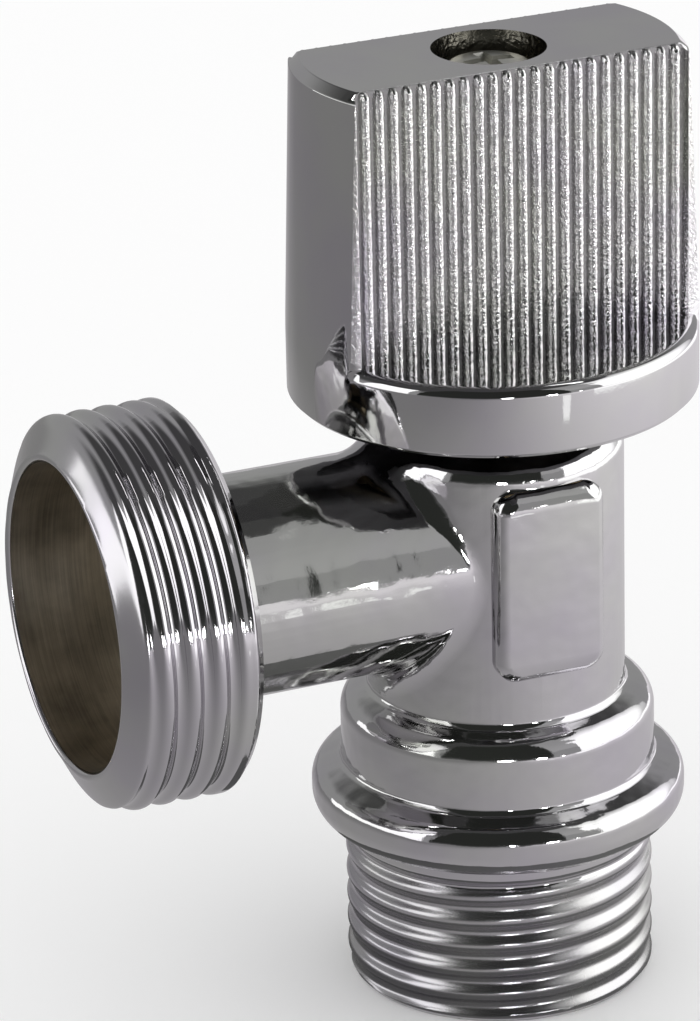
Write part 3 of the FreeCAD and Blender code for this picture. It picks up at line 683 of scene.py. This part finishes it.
# Handle screw: steel, cold-headed with a domed pan head and a cross recess, rolled and zinc plated.
# It is driven down through the recess in the grip into the spindle's end.
screw_top, screw_foot = 64.94, 52.54
screw_head_radius, screw_radius, screw_head_side = 2.7, 1.5, 2.0
cross_arm, cross_half, cross_depth, cross_taper = 1.7, 0.42, 1.2, 0.7
dome_steps = 12
dome_foot = recess_floor + screw_head_side
dome = [
    (screw_head_radius * math.cos(a), dome_foot + (screw_top - dome_foot) * math.sin(a))
    for a in (math.radians(90) * i / dome_steps for i in range(dome_steps + 1))
]
screw_shell = turned(
    [(0, screw_foot), (screw_radius, screw_foot)]
    + [(screw_radius, recess_floor), (screw_head_radius, recess_floor)]
    + dome
)
for place in (-cross_arm, -cross_half, cross_half, cross_arm):
    for across in ((1, 0, 0), (0, 1, 0)):
        bmesh.ops.bisect_plane(
            screw_shell,
            geom=screw_shell.verts[:] + screw_shell.edges[:] + screw_shell.faces[:],
            dist=1e-4,
            plane_co=Vector(across) * place,
            plane_no=across,
        )


def in_cross(face):
    """Whether a face of the dome lies inside the cross."""
    middle = face.calc_center_median()
    short, long = sorted((abs(middle.x), abs(middle.y)))
    return middle.z > dome_foot and short < cross_half and long < cross_arm


lid = [face for face in screw_shell.faces if in_cross(face)]
sunk = bmesh.ops.extrude_face_region(screw_shell, geom=lid)
bmesh.ops.delete(screw_shell, geom=lid, context="FACES")
bottom = [item for item in sunk["geom"] if isinstance(item, bmesh.types.BMVert)]
bmesh.ops.translate(screw_shell, verts=bottom, vec=(0, 0, -cross_depth))
bmesh.ops.scale(screw_shell, verts=bottom, vec=(cross_taper, cross_taper, 1))
steel = turned_metal("plated_steel", "Z", (0.48, 0.48, 0.44), (0.86, 0.85, 0.8), 3e-6)
finish_piece("handle_screw_plated", screw_shell, [steel], "turning_handle", "steel", "handle_screw")

# Headwork: turned brass housing and spindle, rubber seals, lapped ceramic discs, plastic rings and a clip.
# It is put together on the bench and screwed into the barrel, and only its ends can be seen.
turned_brass = turned_metal("turned_brass", "Z", (0.42, 0.32, 0.17), (0.72, 0.58, 0.34), 4e-6)


def speckled(name, dark, light, roughness, scale):
    """A moulded or pressed material with a fine mottle in its colour and surface."""
    material, tree, shader, place = new_material(name)
    mottle = add_node(tree, "ShaderNodeTexNoise", {"Vector": place, "Scale": scale, "Detail": 4.0})
    colour = add_node(tree, "ShaderNodeValToRGB", {"Fac": mottle.outputs["Fac"]})
    colour.color_ramp.elements[0].color = (*dark, 1)
    colour.color_ramp.elements[1].color = (*light, 1)
    height = mottle.outputs["Fac"]
    bump = add_node(tree, "ShaderNodeBump", {"Height": height, "Strength": 1.0, "Distance": 4e-6})
    shader.inputs["Roughness"].default_value = roughness
    tree.links.new(colour.outputs["Color"], shader.inputs["Base Color"])
    tree.links.new(bump.outputs["Normal"], shader.inputs["Normal"])
    return material


rubber = speckled("black_rubber", (0.012, 0.012, 0.012), (0.04, 0.04, 0.042), 0.55, 2600)
ceramic = speckled("white_ceramic", (0.78, 0.78, 0.75), (0.88, 0.88, 0.86), 0.18, 1800)
plastic = speckled("white_plastic", (0.72, 0.72, 0.69), (0.82, 0.82, 0.79), 0.45, 1400)
headwork = {
    "headwork_housing": turned_brass,
    "spindle": turned_brass,
    "housing_seal": rubber,
    "seat_seal": rubber,
    "spindle_seal_lower": rubber,
    "spindle_seal_upper": rubber,
    "fixed_disc": ceramic,
    "moving_disc": ceramic,
    "seal_support_ring": plastic,
    "slip_washer": plastic,
    "spindle_clip": steel,
}
for name, material in headwork.items():
    node = frame["nodes"][name]
    node.data.materials.clear()
    node.data.materials.append(material)

# Studio: a pale painted floor under even white light.
# The valve stands in a grey cloth tent with soft boxes, small lamps and a table, which only the metal sees.
floor_size, floor_white, floor_roughness = 4.0, (0.98, 0.98, 0.98, 1), 0.9
tent_radius, patch_rungs, patch_steps, disc_sides = 0.7, 16, 32, 64
floor_mesh = bmesh.new()
bmesh.ops.create_grid(floor_mesh, x_segments=1, y_segments=1, size=floor_size)
floor_data = bpy.data.meshes.new("floor")
floor_mesh.to_mesh(floor_data)
floor_mesh.free()
floor = bpy.data.objects.new("floor", floor_data)
bpy.context.scene.collection.objects.link(floor)
floor_paint = bpy.data.materials.new("floor_paint")
floor_paint.use_nodes = True
floor_shader = floor_paint.node_tree.nodes["Principled BSDF"]
floor_shader.inputs["Base Color"].default_value = floor_white
floor_shader.inputs["Roughness"].default_value = floor_roughness
floor_shader.inputs["Specular IOR Level"].default_value = 0.0
floor_data.materials.append(floor_paint)

world = bpy.data.worlds.new("even_light")
world.use_nodes = True
world.node_tree.nodes["Background"].inputs["Color"].default_value = (1, 1, 1, 1)
world.node_tree.nodes["Background"].inputs["Strength"].default_value = 1.0
bpy.context.scene.world = world


def glow(name, colour, across, start, end, end_colour):
    """Light that runs from one colour to another along a direction, between two distances in metres."""
    material = bpy.data.materials.new(name)
    material.use_nodes = True
    tree = material.node_tree
    tree.nodes.remove(tree.nodes["Principled BSDF"])
    place = add_node(tree, "ShaderNodeTexCoord").outputs["Object"]
    along = add_node(tree, "ShaderNodeVectorMath", {0: place, 1: across}, operation="DOT_PRODUCT")
    level = add_node(
        tree,
        "ShaderNodeMapRange",
        {"Value": along.outputs["Value"], "From Min": start, "From Max": end},
        interpolation_type="SMOOTHSTEP",
    )
    ramp = add_node(tree, "ShaderNodeValToRGB", {"Fac": level.outputs["Result"]})
    ramp.color_ramp.elements[0].color = (*colour, 1)
    ramp.color_ramp.elements[1].color = (*end_colour, 1)
    light = add_node(tree, "ShaderNodeEmission", {"Color": ramp.outputs["Color"]})
    tree.links.new(light.outputs["Emission"], tree.nodes["Material Output"].inputs["Surface"])
    return material


def seen_by_metal(name, shell, light):
    """A stage piece that shows in the metal and nowhere else, and casts no shadow."""
    data = bpy.data.meshes.new(name)
    shell.to_mesh(data)
    shell.free()
    data.materials.append(light)
    piece = bpy.data.objects.new(name, data)
    bpy.context.scene.collection.objects.link(piece)
    piece.visible_camera = piece.visible_diffuse = piece.visible_shadow = False
    piece.visible_transmission = piece.visible_volume_scatter = False


def towards(azimuth, elevation):
    """A direction by its angles: azimuth 0 is in front of the pad, 90 to its right."""
    a, e = math.radians(azimuth), math.radians(elevation)
    return Vector((math.sin(a) * math.cos(e), -math.cos(a) * math.cos(e), math.sin(e)))


def tent_patch(name, radius, azimuths, elevations, light):
    """A patch of a dome round the valve, between two azimuths and two elevations."""
    shell = bmesh.new()
    low, high = elevations
    rungs = [low + (high - low) * i / patch_rungs for i in range(patch_rungs + 1)]
    verts = [shell.verts.new(towards(azimuths[0], rung) * radius) for rung in rungs]
    edges = [shell.edges.new(pair) for pair in zip(verts, verts[1:])]
    turn = math.radians(azimuths[1] - azimuths[0])
    bmesh.ops.spin(shell, geom=verts + edges, cent=(0, 0, 0), axis=(0, 0, 1), angle=turn, steps=patch_steps)
    seen_by_metal(name, shell, light)


def table_patch(name, size, height, light):
    """A round patch just above the floor."""
    shell = bmesh.new()
    bmesh.ops.create_circle(shell, cap_ends=True, segments=disc_sides, radius=size)
    bmesh.ops.translate(shell, verts=shell.verts, vec=(0, 0, height))
    seen_by_metal(name, shell, light)


def table_ring(name, azimuth, turn, reaches, steps, light):
    """A stretch of a flat ring on the table, between two distances from the valve."""
    shell = bmesh.new()
    ends = [shell.verts.new(towards(azimuth, 0) * reach + Vector((0, 0, ring_height))) for reach in reaches]
    edge = shell.edges.new(ends)
    sweep = math.radians(turn)
    bmesh.ops.spin(shell, geom=ends + [edge], cent=(0, 0, 0), axis=(0, 0, 1), angle=sweep, steps=steps)
    seen_by_metal(name, shell, light)


def plain(strength):
    return (strength,) * 3


# the tent is dark overhead, and the table is brighter to the right and darkest under the valve
tent_light = glow("tent_light", plain(0.37), (0, 0, 1), 0.42 * tent_radius, 0.74 * tent_radius, plain(0.07))
tent_patch("tent", tent_radius, (0, 360), (0.02, 90), tent_light)
table_height, shade_height, ring_height = 0.0002, 0.0003, 0.0004
table_light = glow("table_light", (0.26, 0.255, 0.26), towards(75, 0), -0.1, 0.17, (1.0, 0.97, 1.0))
table_patch("table", tent_radius, table_height, table_light)
shade_light = glow("shade_light", plain(0.1), towards(75, 0), -0.02, 0.02, plain(0.18))
table_patch("table_shade", 0.019, shade_height, shade_light)

# the opening for the camera, a lighter cloth, the soft boxes and a strip light, in front of the tent
opening_light = glow("opening_light", plain(0.12), (0, 0, 1), 0.01, 0.1, (0.03, 0.032, 0.029))
tent_patch("camera_opening", 0.6, (-65, 17), (1, 72), opening_light)
cloth_light = glow("cloth_light", plain(0.48), (0, 0, 1), 0.3, 0.55, plain(0.4))
tent_patch("upper_cloth", 0.595, (17, 62), (24, 66), cloth_light)
right_light = glow("right_light", plain(0.6), towards(66, 20), 0.38, 0.56, plain(2.0))
tent_patch("right_box", 0.59, (44, 112), (0, 60), right_light)
tent_patch("right_box_edge", 0.59, (36, 44), (0, 44), right_light)
left_light = glow("left_light", plain(1.6), (0, 0, 1), 0, 0.3, plain(1.9))
tent_patch("left_box", 0.59, (-98, -70), (0.3, 44), left_light)
tent_patch("left_box_edge", 0.59, (-140, -98), (0.3, 12), left_light)
strip_light = glow("strip_light", plain(2.6), towards(95, 66), 0.4, 0.58, plain(3.4))
tent_patch("upper_strip", 0.58, (85, 130), (67, 70.5), strip_light)

# small lamps low in the opening, and two bright stretches of the table
lamp_light = glow("lamp_light", plain(24), (0, 0, 1), 0.01, 0.06, plain(32))
for step, (start, end, high) in enumerate(((-19.5, -14.5, 7), (4.5, 9.5, 7), (22, 23.2, 3.2))):
    tent_patch(f"lamp_{step}", 0.5, (start, end), (2, high), lamp_light)
streak_light = glow("streak_light", plain(0.9), towards(14, 0), 0.11, 0.12, plain(1.3))
table_ring("table_streak", 12, 4, (0.112, 0.14), 1, streak_light)
far_light = glow("far_light", plain(1.3), towards(75, 0), 0.1, 0.16, plain(1.7))
table_ring("table_far", 30, 95, (0.134, 0.4), 24, far_light)

# Camera: it stands where the photograph was taken from, high to the left of the pad and a little tilted.
# Distance and shifts are in mm about a point on the barrel's axis. The focal length is in picture pixels.
camera_azimuth, camera_elevation, camera_roll = -22.965, 22.213, math.radians(-1.32)
camera_distance, shift_right, shift_up = 386.322, -9.684, -1.427
target = Vector((0, 0, 35))
focal_pixels, picture_long_side = 5773.5, 1021
back = towards(camera_azimuth, camera_elevation)
right = Vector((math.cos(math.radians(camera_azimuth)), math.sin(math.radians(camera_azimuth)), 0))
up = back.cross(right)
camera_right = right * math.cos(camera_roll) + up * math.sin(camera_roll)
camera_up = up * math.cos(camera_roll) - right * math.sin(camera_roll)
camera_data = bpy.data.cameras.new("camera")
camera_data.sensor_width = 36
camera_data.lens = focal_pixels * camera_data.sensor_width / picture_long_side
camera_data.clip_start = 0.01
camera = bpy.data.objects.new("camera", camera_data)
bpy.context.scene.collection.objects.link(camera)
place = (target + back * camera_distance + right * shift_right + up * shift_up) * MM
facing = Matrix((camera_right, camera_up, back)).transposed().to_4x4()
camera.matrix_world = Matrix.Translation(place) @ facing
bpy.context.scene.camera = camera

bpy.context.scene.view_settings.view_transform = "Standard"
